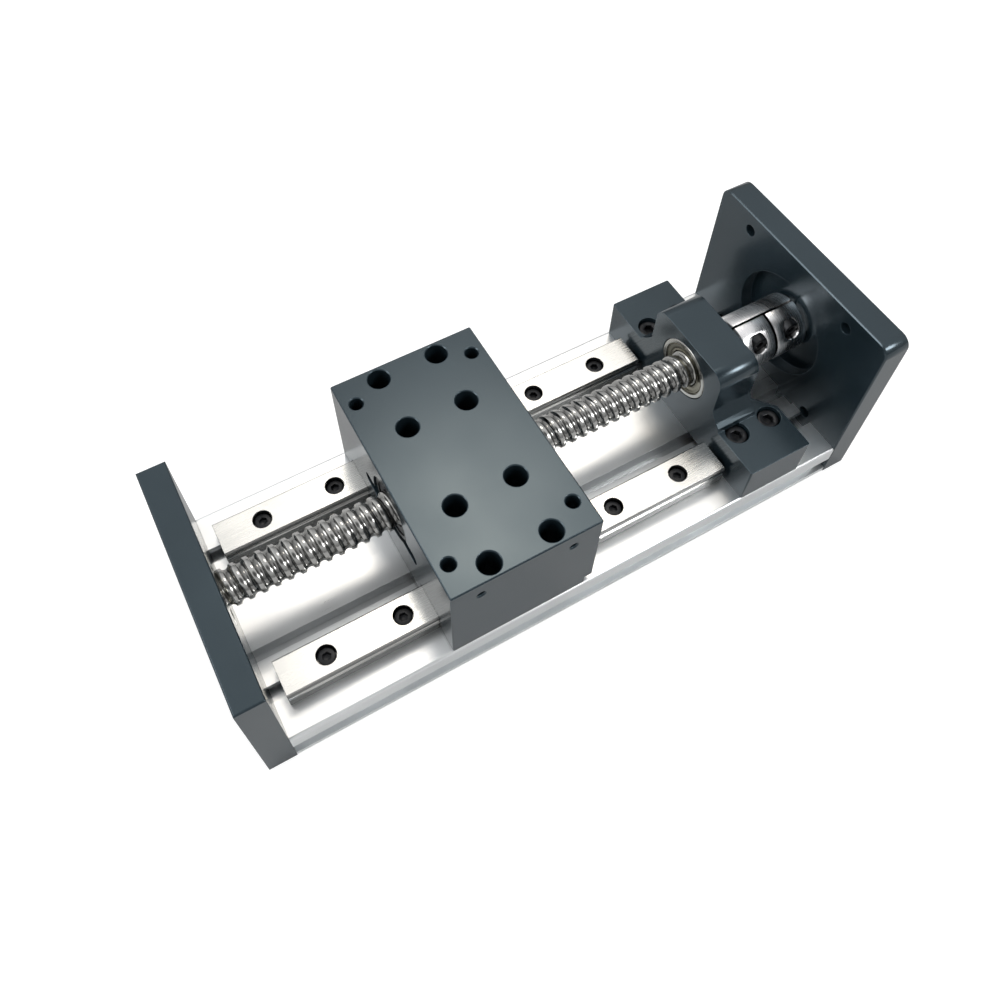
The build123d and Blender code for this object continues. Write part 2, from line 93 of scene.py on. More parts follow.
# Camera of the photograph
CAMERA_PLACE = (-0.089393, -0.131678, 0.302457)
CAMERA_RIGHT = Vector((0.87592, -0.482455, -0.001021))
CAMERA_UP = Vector((0.395543, 0.716913, 0.574091))

# Soft round panels of the studio, and the dark patch round the viewer: the direction from
# the object, and the angles in degrees at which each is full and at which it ends
BACK_PANEL = (-0.55, 0.80, 0.25), 18.0, 42.0
LEFT_PANEL = (-0.82, 0.25, 0.52), 6.0, 20.0
NEAR_PANEL = (0.50, -0.58, 0.64), 4.0, 12.0
TOP_PANEL = (0.21, 0.38, 0.90), 0.5, 9.5
DARK_PATCH = (0.02, -0.42, 0.90), 8.0, 26.0
WHITE = (1.0, 1.0, 1.0, 1.0)
WARM_WHITE = (1.0, 0.90, 0.78, 1.0)


class BallScrewSizes(bpy.types.PropertyGroup):
    """Sizes of the rolled ball track on the screw."""

    lead: FloatProperty(
        name="Lead", description="Travel of the nut in one turn",
        default=4 * MM, min=1 * MM, unit="LENGTH",
    )
    track_depth: FloatProperty(
        name="Track depth", description="Depth of the ball track below the crest",
        default=0.95 * MM, unit="LENGTH",
    )
    track_width: FloatProperty(
        name="Track width", description="Width of the ball track at the crest",
        default=2.55 * MM, unit="LENGTH",
    )
    crest_round: FloatProperty(
        name="Crest rounding", description="Drop of the crest's two edges",
        default=0.07 * MM, unit="LENGTH",
    )
    steps: IntProperty(
        name="Steps per turn", description="Points round one turn of the track", default=60, min=16
    )


class FastenerSizes(bpy.types.PropertyGroup):
    """Sizes of the socket head screws."""

    knurls: IntProperty(name="Knurls", description="Ridges round a screw head", default=36, min=8)
    knurl_depth: FloatProperty(
        name="Knurl depth", description="Depth of the ridges round a head",
        default=0.09 * MM, unit="LENGTH",
    )
    rim: FloatProperty(
        name="Rim", description="Rounding of a head's upper edge", default=0.3 * MM, unit="LENGTH"
    )
    pitch_share: FloatProperty(
        name="Pitch share", description="Thread pitch as a share of the thread's size",
        default=0.17, subtype="FACTOR",
    )


class Finishes(bpy.types.PropertyGroup):
    """Colours of the finishes, as linear values."""

    anodised: FloatVectorProperty(
        name="Black anodising", description="Colour of the machined black pieces", subtype="COLOR",
        default=(0.0085, 0.0150, 0.0195),
    )
    base: FloatVectorProperty(
        name="Base aluminium", description="Colour of the extrusion", subtype="COLOR",
        default=(0.87, 0.89, 0.90),
    )
    rail: FloatVectorProperty(
        name="Rail steel", description="Colour of the ground rails", subtype="COLOR",
        default=(0.74, 0.74, 0.72),
    )
    screw: FloatVectorProperty(
        name="Screw steel", description="Colour of the rolled screw", subtype="COLOR",
        default=(0.43, 0.43, 0.42),
    )
    coupling: FloatVectorProperty(
        name="Coupling aluminium", description="Colour of the coupling", subtype="COLOR",
        default=(0.86, 0.86, 0.87),
    )
    shield: FloatVectorProperty(
        name="Bearing shield", description="Colour of the pressed shields", subtype="COLOR",
        default=(0.19, 0.18, 0.14),
    )
    oxide: FloatVectorProperty(
        name="Black oxide", description="Colour of the socket screws", subtype="COLOR",
        default=(0.011, 0.012, 0.014),
    )


class StageSizes(bpy.types.PropertyGroup):
    """Camera and lamps."""

    lens: FloatProperty(
        name="Lens", description="Focal length of the camera in millimetres", default=35.21, min=10
    )
    shift_x: FloatProperty(name="Shift X", description="Sideways shift of the camera", default=0.0232)
    shift_y: FloatProperty(name="Shift Y", description="Upward shift of the camera", default=-0.1222)
    horizon: FloatProperty(
        name="Horizon", description="Strength of the studio's light at the horizon", default=0.18, min=0
    )
    zenith: FloatProperty(
        name="Zenith", description="Strength of the studio's light overhead", default=0.97, min=0
    )
    top_panel: FloatProperty(
        name="Top panel", description="Strength of the panel that the table's top mirrors",
        default=7.5, min=0,
    )
    back_panel: FloatProperty(
        name="Back panel", description="Strength of the panel behind the object", default=0.4, min=0
    )
    floor_glow: FloatProperty(
        name="Floor glow", description="Own light of the white floor where it is seen",
        default=0.68, min=0,
    )
    left_panel: FloatProperty(
        name="Left panel", description="Strength of the panel that the front edges mirror",
        default=6.0, min=0,
    )
    near_panel: FloatProperty(
        name="Near panel", description="Strength of the panel that the rounded near edges mirror",
        default=16.0, min=0,
    )
    dark_patch: FloatProperty(
        name="Dark patch",
        description="Share of the overhead light that is missing at the viewer's place",
        default=0.85, min=0, max=1,
    )
    floor_mirror: FloatProperty(
        name="Floor in mirrors", description="Own light of the white floor where a surface mirrors it",
        default=0.12, min=0,
    )


class SlideSettings(bpy.types.PropertyGroup):
    """All settings of the sliding table."""

    thread: PointerProperty(type=BallScrewSizes)
    fasteners: PointerProperty(type=FastenerSizes)
    finishes: PointerProperty(type=Finishes)
    stage: PointerProperty(type=StageSizes)


def settings():
    """The scene's settings."""
    return bpy.context.scene.slide_settings


class Tree:
    """Short calls for a material's nodes."""

    def __init__(self, material):
        self.nodes = material.node_tree.nodes
        self.links = material.node_tree.links

    def add(self, kind, **values):
        """Adds a node and sets its sockets and options by name."""
        node = self.nodes.new(kind)
        for name, value in values.items():
            socket = name.replace("_", " ")
            if hasattr(node, name):
                setattr(node, name, value)
            elif socket in node.inputs:
                node.inputs[socket].default_value = value
        return node

    def link(self, source, target):
        """Joins two sockets."""
        self.links.new(source, target)

    def fill(self, socket, value):
        """Gives a socket a constant, or another node's output."""
        if isinstance(value, bpy.types.NodeSocket):
            self.link(value, socket)
        else:
            socket.default_value = value

    def noise(self, place, scale, detail=3.0, rough=0.5):
        """Noise over stretched object coordinates."""
        mapping = self.add("ShaderNodeMapping")
        mapping.inputs["Scale"].default_value = scale
        self.link(place, mapping.inputs["Vector"])
        noise = self.add("ShaderNodeTexNoise", Scale=1.0, Detail=detail, Roughness=rough)
        self.link(mapping.outputs["Vector"], noise.inputs["Vector"])
        return noise.outputs["Fac"]

    def maths(self, operation, one, two):
        """Makes one value of two."""
        node = self.add("ShaderNodeMath", operation=operation)
        self.link(one, node.inputs[0])
        self.link(two, node.inputs[1])
        return node.outputs["Value"]

    def times(self, colour, factor):
        """Scales a colour by a value."""
        node = self.add("ShaderNodeVectorMath", operation="SCALE")
        self.link(colour, node.inputs["Vector"])
        self.link(factor, node.inputs["Scale"])
        return node.outputs["Vector"]

    def facing(self, normal, direction):
        """How far a normal turns towards a direction, as their dot product."""
        node = self.add("ShaderNodeVectorMath", operation="DOT_PRODUCT")
        self.link(normal, node.inputs[0])
        self.fill(node.inputs[1], direction)
        return node.outputs["Value"]

    def along(self, vector, axis):
        """One coordinate of a vector."""
        split = self.add("ShaderNodeSeparateXYZ")
        self.link(vector, split.inputs["Vector"])
        return split.outputs[axis]

    def from_axis(self, place):
        """Distance from the screw's axis."""
        offset = self.add("ShaderNodeVectorMath", operation="SUBTRACT")
        self.link(place, offset.inputs[0])
        offset.inputs[1].default_value = (0.0, AXIS_Y, AXIS_Z)
        across = self.add("ShaderNodeVectorMath", operation="MULTIPLY")
        self.link(offset.outputs["Vector"], across.inputs[0])
        across.inputs[1].default_value = (0.0, 1.0, 1.0)
        length = self.add("ShaderNodeVectorMath", operation="LENGTH")
        self.link(across.outputs["Vector"], length.inputs[0])
        return length.outputs["Value"]

    def from_middle(self, place):
        """Distance from the middle plane."""
        side = self.add("ShaderNodeMath", operation="ABSOLUTE")
        self.link(self.along(place, "Y"), side.inputs[0])
        return side.outputs["Value"]

    def ramp(self, value, low, high, start=0.3, end=0.7, kind="LINEAR"):
        """Maps a value onto a range."""
        node = self.add("ShaderNodeMapRange", interpolation_type=kind)
        node.inputs["From Min"].default_value = start
        node.inputs["From Max"].default_value = end
        node.inputs["To Min"].default_value = low
        node.inputs["To Max"].default_value = high
        self.link(value, node.inputs["Value"])
        return node.outputs["Result"]

    def mix(self, factor, one, two, data="RGBA", sockets="RGBA"):
        """Mixes two colours with their alpha, or other data, by a factor."""
        node = self.add("ShaderNodeMix", data_type=data)
        first, second = [socket for socket in node.inputs if socket.type == sockets][-2:]
        self.fill(first, one)
        self.fill(second, two)
        self.link(factor, node.inputs["Factor"])
        return next(socket for socket in node.outputs if socket.type == sockets)

    def bump(self, height, strength, distance, normal=None):
        """A bump from a height."""
        node = self.add("ShaderNodeBump", Strength=strength, Distance=distance)
        self.link(height, node.inputs["Height"])
        if normal is not None:
            self.link(normal, node.inputs["Normal"])
        return node.outputs["Normal"]


def new_material(name, metallic, roughness, colour):
    """A material with its main shader, the tree and the object coordinates."""
    material = bpy.data.materials.new(name)
    material.use_nodes = True
    tree = Tree(material)
    shader = material.node_tree.nodes["Principled BSDF"]
    shader.inputs["Metallic"].default_value = metallic
    shader.inputs["Roughness"].default_value = roughness
    shader.inputs["Base Color"].default_value = (*colour, 1.0)
    place = tree.add("ShaderNodeTexCoord").outputs["Object"]
    material.diffuse_color = (*colour, 1.0)
    return material, tree, shader, place


def scaled(colour, share):
    """A colour made darker or lighter, with its alpha."""
    return (*(min(1.0, channel * share) for channel in colour), 1.0)


def black_anodised():
    """Satin black anodising with a fine bead-blasted grain, faint mill lines and a painted highlight along
    its edges.
    """
    colour = settings().finishes.anodised
    material, tree, shader, place = new_material("black_anodised", 0.0, 0.27, colour)
    cloud = tree.noise(place, (38, 38, 38), 4.0)
    grain = tree.noise(place, (5200, 5200, 5200), 2.0)
    mill = tree.noise(place, (2600, 45, 2600), 2.0)
    tint = tree.mix(tree.ramp(cloud, 0, 1), scaled(colour, 0.86), scaled(colour, 1.16))
    edge = tree.add("ShaderNodeBevel", samples=6, Radius=0.26 * MM)
    flat = tree.add("ShaderNodeNewGeometry").outputs["Normal"]
    # Painted highlight: the base colour turns 3.2 times paler where the bevel's rounded normal leaves the
    # flat normal, along every edge.
    painted_edge_highlight = tree.ramp(tree.facing(edge.outputs["Normal"], flat), 1.0, 0.0, 0.86, 0.985)
    tree.link(tree.mix(painted_edge_highlight, tint, scaled(colour, 3.2)), shader.inputs["Base Color"])
    tree.link(tree.ramp(cloud, 0.20, 0.25), shader.inputs["Roughness"])
    shader.inputs["Specular IOR Level"].default_value = 0.7
    shader.inputs["Specular Tint"].default_value = (0.72, 0.89, 1.0, 1.0)
    soft = tree.bump(grain, 0.10, 0.02 * MM, edge.outputs["Normal"])
    tree.link(tree.bump(mill, 0.05, 0.01 * MM, soft), shader.inputs["Normal"])
    shader.inputs["IOR"].default_value = 1.52
    return material


def drawn_metal(name, colour, roughness, grain_scale, grain_strength, edge_radius=EDGE_BREAK, shade=None):
    """A metal with lines along one direction, cloudy roughness and softened edges.

    Where given, shade makes a darkening factor from the tree and the object coordinates.
    """
    material, tree, shader, place = new_material(name, 1.0, roughness, colour)
    lines = tree.noise(place, grain_scale, 3.0, 0.6)
    cloud = tree.noise(place, (55, 55, 55), 3.0)
    tint = tree.mix(tree.ramp(cloud, 0, 1), scaled(colour, 0.95), scaled(colour, 1.03))
    if shade:
        tint = tree.times(tint, shade(tree, place))
    tree.link(tint, shader.inputs["Base Color"])
    patches = tree.ramp(cloud, -0.03, 0.03)
    streaks = tree.ramp(lines, roughness - 0.05, roughness + 0.06)
    tree.link(tree.maths("ADD", patches, streaks), shader.inputs["Roughness"])
    edge = tree.add("ShaderNodeBevel", samples=4, Radius=edge_radius)
    normal = tree.bump(lines, grain_strength, 0.012 * MM, edge.outputs["Normal"])
    tree.link(normal, shader.inputs["Normal"])
    return material


def drain_shade(tree, place):
    """Painted shade darkens the drains between the milled faces."""
    side = tree.from_middle(place)
    after_plateau = tree.ramp(side, 0.0, 1.0, DRAIN_INNER - WALL_BLUR, DRAIN_INNER + WALL_BLUR)
    before_ledge = tree.ramp(side, 1.0, 0.0, DRAIN_OUTER - WALL_BLUR, DRAIN_OUTER + WALL_BLUR)
    # Painted shade: the drain floors get 0.72 of the base colour.
    return tree.ramp(tree.maths("MINIMUM", after_plateau, before_ledge), 1.0, 0.72, 0.0, 1.0)


def side_shade(tree, place):
    """Painted shade darkens a rail's faces as they turn away from up, together with the rolled sides'
    duller finish beside the ground top.
    """
    upward = tree.along(tree.add("ShaderNodeNewGeometry").outputs["True Normal"], "Z")
    # Painted shade by world direction: faces that turn away from up fall to 0.30 of the colour.
    return tree.ramp(upward, 0.30, 1.0, 0.6, 0.9)


def track_shade(tree, place):
    """Painted shade in the groove, together with oil, darkens the ball track towards its bottom."""
    crest = (SCREW_HIGH.z - SCREW_LOW.z) / 2
    bottom = crest - settings().thread.track_depth
    # Painted shade: the colour falls to 0.55 at the track's bottom.
    return tree.ramp(tree.from_axis(place), 0.55, 1.0, bottom, crest - 0.1 * MM)


def slit_shade(tree, place):
    """Painted shade darkens the coupling inside its slits and bore, below the turned skin."""
    low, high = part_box("coupling_body")
    skin = (high.z - low.z) / 2
    along = tree.along(place, "X")
    after_start = tree.ramp(along, 0.0, 1.0, low.x + 0.1 * MM, low.x + 0.2 * MM)
    before_end = tree.ramp(along, 1.0, 0.0, high.x - 0.2 * MM, high.x - 0.1 * MM)
    below_skin = tree.ramp(tree.from_axis(place), 1.0, 0.0, skin - 0.6 * MM, skin - 0.3 * MM)
    between_ends = tree.maths("MINIMUM", after_start, before_end)
    # Painted shade: everything below the skin, away from the two ends, gets 0.12 of the colour.
    return tree.ramp(tree.maths("MINIMUM", below_skin, between_ends), 1.0, 0.12, 0.0, 1.0)


def base_aluminium():
    """Clear anodised extrusion with fine lines along its length."""
    return drawn_metal(
        "base_aluminium", settings().finishes.base, 0.34, (26, 5200, 5200), 0.22, shade=drain_shade
    )


def rail_steel():
    """Ground rail steel."""
    return drawn_metal(
        "rail_steel", settings().finishes.rail, 0.26, (60, 4200, 4200), 0.12, shade=side_shade
    )


def screw_steel():
    """Rolled and polished screw steel."""
    return drawn_metal(
        "screw_steel", settings().finishes.screw, 0.14, (900, 140, 140), 0.10, 0.05 * MM, track_shade
    )


def coupling_aluminium():
    """Turned aluminium with tool marks round its axis."""
    return drawn_metal(
        "coupling_aluminium", settings().finishes.coupling, 0.27, (9000, 60, 60), 0.16, shade=slit_shade
    )


def bearing_steel():
    """Polished bearing rings."""
    return drawn_metal("bearing_steel", (0.42, 0.42, 0.40), 0.14, (4000, 90, 90), 0.06, 0.1 * MM)


def shield_steel():
    """Pressed shields with a warm tint."""
    return drawn_metal("shield_steel", settings().finishes.shield, 0.2, (900, 900, 900), 0.06, 0.05 * MM)


def zinc_steel():
    """Zinc plated nuts and strips."""
    return drawn_metal("zinc_steel", (0.62, 0.64, 0.66), 0.34, (400, 900, 900), 0.14)


def black_oxide():
    """Oiled black oxide of the socket screws."""
    colour = settings().finishes.oxide
    material, tree, shader, place = new_material("black_oxide", 0.55, 0.34, colour)
    cloud = tree.noise(place, (700, 700, 700), 3.0)
    tint = tree.mix(tree.ramp(cloud, 0, 1), scaled(colour, 0.8), scaled(colour, 1.7))
    tree.link(tint, shader.inputs["Base Color"])
    tree.link(tree.ramp(cloud, 0.28, 0.42), shader.inputs["Roughness"])
    tree.link(tree.bump(tree.noise(place, (6000, 6000, 6000)), 0.12, 0.01 * MM), shader.inputs["Normal"])
    return material


def moulded(name, colour, roughness):
    """Plain moulded plastic or rubber with a fine skin."""
    material, tree, shader, place = new_material(name, 0.0, roughness, colour)
    skin = tree.noise(place, (2400, 2400, 2400), 3.0)
    cloud = tree.noise(place, (120, 120, 120), 3.0)
    tint = tree.mix(tree.ramp(cloud, 0, 1), scaled(colour, 0.9), scaled(colour, 1.1))
    tree.link(tint, shader.inputs["Base Color"])
    tree.link(tree.ramp(cloud, roughness - 0.05, roughness + 0.05), shader.inputs["Roughness"])
    tree.link(tree.bump(skin, 0.15, 0.01 * MM), shader.inputs["Normal"])
    return material


FINISH_OF_SLOT = {
    "black_anodised": black_anodised,
    "base_aluminium": base_aluminium,
    "rail_steel": rail_steel,
    "screw_steel": screw_steel,
    "coupling_aluminium": coupling_aluminium,
    "bearing_steel": bearing_steel,
    "shield_steel": shield_steel,
    "zinc_steel": zinc_steel,
    "black_screws": black_oxide,
    "cap_plastic": lambda: moulded("cap_plastic", (0.03, 0.03, 0.033), 0.5),
    "wiper_plastic": lambda: moulded("wiper_plastic", (0.02, 0.02, 0.022), 0.5),
    "seal_rubber": lambda: moulded("seal_rubber", (0.025, 0.025, 0.025), 0.7),
}
made_finishes = {}


def finish(slot):
    """The finish of a material slot, made once."""
    if slot not in made_finishes:
        made_finishes[slot] = FINISH_OF_SLOT[slot]()
    return made_finishes[slot]


def break_edges(piece, width, angle):
    """Bevels a piece's edges where its faces meet at more than an angle in degrees."""
    bevel = piece.modifiers.new("edge_break", "BEVEL")
    bevel.width = width
    bevel.segments = 2
    bevel.limit_method = "ANGLE"
    bevel.angle_limit = math.radians(angle)


def dress(node, edge=0.0):
    """Gives a carried-over node its finish and, where asked, small real edge breaks."""
    piece = frame["nodes"][node]
    piece.data.materials.clear()
    piece.data.materials.append(finish(SLOT_OF[node]))
    if edge:
        weld = piece.modifiers.new("weld", "WELD")
        weld.merge_threshold = SAME_POINT
        break_edges(piece, edge, 35.0)
    return piece


def place_piece(name, bm, node, smooth_angle=30.0):
    """Turns a bmesh into a piece that stands for a node and rides with its body."""
    bmesh.ops.recalc_face_normals(bm, faces=bm.faces)
    mesh = bpy.data.meshes.new(name)
    bm.to_mesh(mesh)
    bm.free()
    mesh.shade_smooth()
    mesh.set_sharp_from_angle(angle=math.radians(smooth_angle))
    piece = bpy.data.objects.new(name, mesh)
    bpy.context.scene.collection.objects.link(piece)
    piece.data.materials.append(finish(SLOT_OF[node]))
    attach(piece, BODY_OF[node])
    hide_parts(node)
    return piece


def turned_ring(bm, outline, steps, matrix=Matrix.Identity(4), closed=True):
    """Turns an outline of (along, radius) points about the local X axis."""
    rings = []
    for i in range(steps):
        angle = TURN * i / steps
        ring = []
        for along, radius in outline:
            point = Vector((along, radius * math.cos(angle), radius * math.sin(angle)))
            ring.append(bm.verts.new(matrix @ point))
        rings.append(ring)
    count = len(outline)
    spans = count if closed else count - 1
    for i in range(steps):
        here, after = rings[i], rings[(i + 1) % steps]
        for j in range(spans):
            k = (j + 1) % count
            bm.faces.new((here[j], after[j], after[k], here[k]))
    if not closed:
        bm.faces.new([ring[0] for ring in rings])
        bm.faces.new([ring[-1] for ring in reversed(rings)])


def track_profile(thread, radius):
    """One lead of the screw's section along its axis: crest, then the round ball track."""
    depth, width, drop = thread.track_depth, thread.track_width, thread.crest_round
    half = width / 2
    crest = thread.lead - width
    points = [
        (0.0, radius - drop), (crest * 0.12, radius),
        (crest * 0.88, radius), (crest, radius - drop),
    ]
    arc_radius = (half * half + depth * depth) / (2 * depth)
    middle = crest + half
    for i in range(1, TRACK_STEPS):
        offset = -half + width * i / TRACK_STEPS
        sag = math.sqrt(arc_radius**2 - offset**2) - (arc_radius - depth)
        points.append((middle + offset, radius - drop - sag))
    return points


def threaded_shaft(bm, start, end, profile, lead, steps):
    """A right-hand helix of one profile per lead about the screw axis, cut square at both ends."""
    turns = int(math.ceil((end - start) / lead)) + 3
    columns = []
    for k in range(turns * steps + 1):
        angle = TURN * k / steps
        shift = start - 2 * lead + lead * k / steps
        c, s = math.cos(angle), math.sin(angle)
        columns.append([bm.verts.new((shift + x, AXIS_Y + r * c, AXIS_Z + r * s)) for x, r in profile])
    for k, (here, after) in enumerate(zip(columns, columns[1:])):
        for j in range(len(profile) - 1):
            bm.faces.new((here[j], here[j + 1], after[j + 1], after[j]))
        if k + steps + 1 < len(columns):
            bm.faces.new((here[-1], columns[k + steps][0], columns[k + steps + 1][0], after[-1]))
    for place, outward in ((start, -1), (end, 1)):
        geometry = bm.verts[:] + bm.edges[:] + bm.faces[:]
        cut = bmesh.ops.bisect_plane(
            bm, geom=geometry, plane_co=(place, 0, 0), plane_no=(outward, 0, 0), clear_outer=True
        )
        rim = [edge for edge in cut["geom_cut"] if isinstance(edge, bmesh.types.BMEdge)]
        bmesh.ops.edgeloop_fill(bm, edges=rim)


class SLIDE_OT_ball_screw(bpy.types.Operator):
    """Make the rolled ball screw with its track and journals"""

    bl_idname = "slide.ball_screw"
    bl_label = "Ball screw"

    def execute(self, context):
        thread = settings().thread
        profile = track_profile(thread, (SCREW_HIGH.z - SCREW_LOW.z) / 2)
        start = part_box("idler_bearing_inner_ring")[1].x
        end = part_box("support_bearing_inner_rings")[0].x
        bm = bmesh.new()
        threaded_shaft(bm, start, end, profile, thread.lead, thread.steps)
        edge = 0.5 * MM
        overlap = 0.01 * MM
        centre = Matrix.Translation((0, AXIS_Y, AXIS_Z))
        for tip, shoulder, inward in ((SCREW_LOW.x, start, 1), (SCREW_HIGH.x, end, -1)):
            outline = [
                (tip, JOURNAL_RADIUS - edge), (tip + inward * edge, JOURNAL_RADIUS),
                (shoulder + inward * overlap, JOURNAL_RADIUS),
            ]
            turned_ring(bm, outline, JOURNAL_STEPS, centre, closed=False)
        place_piece("ball_screw_shaft", bm, "ball_screw", 38.0)
        return {"FINISHED"}


def cap_screw(bm, thread, length, matrix):
    """A knurled socket head screw: the head stands on the local XY plane, its shank hangs along -Z."""
    sizes = settings().fasteners
    head = 0.75 * thread + 0.5 * MM
    tall = thread
    rim, depth = sizes.rim, sizes.knurl_depth
    count = sizes.knurls * 2
    key = 0.4 * thread
    socket = 0.55 * thread

    def corner(radius, i, height):
        angle = TURN * i / count
        return bm.verts.new(matrix @ Vector((radius * math.cos(angle), radius * math.sin(angle), height)))

    def ring(radius, height, knurled=0.0):
        return [corner(radius - (knurled if i % 2 else 0.0), i, height) for i in range(count)]

    def hexagon(height, share=1.0):
        made = []
        for i in range(count):
            off = (TURN * i / count) % (TURN / 6) - TURN / 12
            made.append(corner(share * key / math.cos(off), i, height))
        return made

    pitch = sizes.pitch_share * thread
    foot_break = 0.15 * MM
    rings = [
        ring(head - foot_break, 0.0),
        ring(head, foot_break),
        ring(head, 0.18 * MM, depth),
        ring(head, tall - rim, depth),
        ring(head - 0.1 * rim, tall - 0.65 * rim),
        ring(head - 0.4 * rim, tall - 0.2 * rim),
        ring(head - rim, tall),
        hexagon(tall, 1.1),
        hexagon(tall - 0.12 * MM),
        hexagon(tall - socket),
    ]
    for lower, upper in zip(rings, rings[1:]):
        for i in range(count):
            j = (i + 1) % count
            bm.faces.new((lower[i], lower[j], upper[j], upper[i]))
    tip = bm.verts.new(matrix @ Vector((0, 0, tall - socket - 0.25 * key)))
    for i in range(count):
        bm.faces.new((rings[-1][i], rings[-1][(i + 1) % count], tip))
    crest, root = thread / 2 - 0.02 * MM, thread / 2 - 0.5 * pitch
    shank = [(0.0, thread / 2)]
    for i in range(int(length / pitch)):
        shank += [(-(i + 0.45) * pitch, crest), (-(i + 0.95) * pitch, root)]
    shank.append((-length, root))
    previous = rings[0]
    for height, radius in shank:
        current = ring(radius, height)
        for i in range(count):
            j = (i + 1) % count
            bm.faces.new((previous[j], previous[i], current[i], current[j]))
        previous = current
    bm.faces.new(list(reversed(previous)))


def solid_boxes(node):
    """Lowest and highest corner of each separate solid in a node."""
    bm = bmesh.new()
    bm.from_mesh(frame["nodes"][node].data)
    bmesh.ops.remove_doubles(bm, verts=bm.verts, dist=SAME_CORNER)
    boxes = []
    waiting = set(bm.verts)
    while waiting:
        stack = [waiting.pop()]
        island = []
        while stack:
            vert = stack.pop()
            island.append(vert.co.copy())
            for edge in vert.link_edges:
                other = edge.other_vert(vert)
                if other in waiting:
                    waiting.remove(other)
                    stack.append(other)
        low = Vector([min(co[i] for co in island) for i in range(3)])
        high = Vector([max(co[i] for co in island) for i in range(3)])
        boxes.append((low, high))
    bm.free()
    return sorted(boxes, key=lambda pair: tuple(round(value, 6) for value in pair[0]))


TOWARDS = {
    "up": Matrix.Identity(4),
    "near": Matrix.Rotation(math.radians(90), 4, "X"),
    "idler": Matrix.Rotation(math.radians(-90), 4, "Y"),
    "motor": Matrix.Rotation(math.radians(90), 4, "Y"),
}


def seat_of(low, high, towards, thread):
    """Where a screw's head stands, from its box, and its length under the head."""
    middle = (low + high) / 2
    if towards == "up":
        return Vector((middle.x, middle.y, high.z - thread)), high.z - thread - low.z
    if towards == "near":
        return Vector((middle.x, low.y + thread, middle.z)), high.y - low.y - thread
    if towards == "idler":
        return Vector((low.x + thread, middle.y, middle.z)), high.x - low.x - thread
    return Vector((high.x - thread, middle.y, middle.z)), high.x - low.x - thread


class SLIDE_OT_fasteners(bpy.types.Operator):
    """Make the knurled socket head screws"""

    bl_idname = "slide.fasteners"
    bl_label = "Socket screws"

    def execute(self, context):
        groups = {
            "rail_screws": (3 * MM, "up"),
            "support_screws": (4 * MM, "up"),
            "carriage_screws": (3 * MM, "up"),
            "coupling_screws": (3 * MM, "near"),
            "idler_plate_screws": (4 * MM, "idler"),
            "motor_plate_screws": (4 * MM, "motor"),
        }
        for node, (thread, towards) in groups.items():
            bm = bmesh.new()
            for number, (low, high) in enumerate(solid_boxes(node)):
                seat, length = seat_of(low, high, towards, thread)
                spin = Matrix.Rotation(math.radians(23.0 * number + 7.0), 4, "Z")
                cap_screw(bm, thread, length, Matrix.Translation(seat) @ TOWARDS[towards] @ spin)
            place_piece(node + "_detailed", bm, node, 40.0)
        return {"FINISHED"}


class SLIDE_OT_bearings(bpy.types.Operator):
    """Make the pressed bearing shields and finish the rings"""

    bl_idname = "slide.bearings"
    bl_label = "Bearings"

    def execute(self, context):
        for node in ("support_bearing_shields", "idler_bearing_shields"):
            bm = bmesh.new()
            for low, high in solid_boxes(node):
                outer = (high.z - low.z) / 2
                thick = high.x - low.x
                lips = [
                    (0.16 * MM, SHIELD_BORE), (0.0, SHIELD_BORE + 0.28 * MM),
                    (0.03 * MM, SHIELD_BORE + 0.5 * MM), (0.20 * MM, SHIELD_BORE + 0.75 * MM),
                    (0.20 * MM, outer - 1.25 * MM), (0.02 * MM, outer - 0.85 * MM),
                    (0.0, outer - 0.6 * MM), (0.22 * MM, outer - 0.3 * MM), (0.22 * MM, outer),
                ]
                centre = Matrix.Translation((low.x, AXIS_Y, AXIS_Z))
                turned_ring(bm, lips + [(thick, outer), (thick, SHIELD_BORE)], SHIELD_STEPS, centre)
            place_piece(node + "_pressed", bm, node, 25.0)
        for node in (
            "support_bearing_outer_rings", "support_bearing_inner_rings",
            "idler_bearing_outer_ring", "idler_bearing_inner_ring",
        ):
            dress(node, EDGE_BREAK)
        return {"FINISHED"}


class SLIDE_OT_base(bpy.types.Operator):
    """Finish the base extrusion, the rails and the nut strips"""

    bl_idname = "slide.base"
    bl_label = "Base and rails"

    def execute(self, context):
        dress("base_profile", EDGE_BREAK)
        for node in ("rail_near", "rail_far"):
            dress(node, 0.08 * MM)
        for node in ("rail_nut_strips", "support_nut_strips", "lock_nut"):
            dress(node)
        return {"FINISHED"}


class SLIDE_OT_machined(bpy.types.Operator):
    """Finish the black machined pieces"""

    bl_idname = "slide.machined"
    bl_label = "Black pieces"

    def execute(self, context):
        for node in ("idler_end_plate", "motor_end_plate", "support_block"):
            dress(node, EDGE_BREAK)
        return {"FINISHED"}


def loose_object(name, bm):
    """A loose object from a bmesh, without any normals that came with it."""
    mesh = bpy.data.meshes.new(name)
    bm.to_mesh(mesh)
    bm.free()
    if "custom_normal" in mesh.attributes:
        mesh.attributes.remove(mesh.attributes["custom_normal"])
    loose = bpy.data.objects.new(name, mesh)
    bpy.context.scene.collection.objects.link(loose)
    return loose


def welded_copy(node):
    """A loose copy of a node with its doubled corners merged."""
    bm = bmesh.new()
    bm.from_mesh(frame["nodes"][node].data)
    bmesh.ops.remove_doubles(bm, verts=bm.verts, dist=SAME_CORNER)
    return loose_object(node + "_copy", bm)


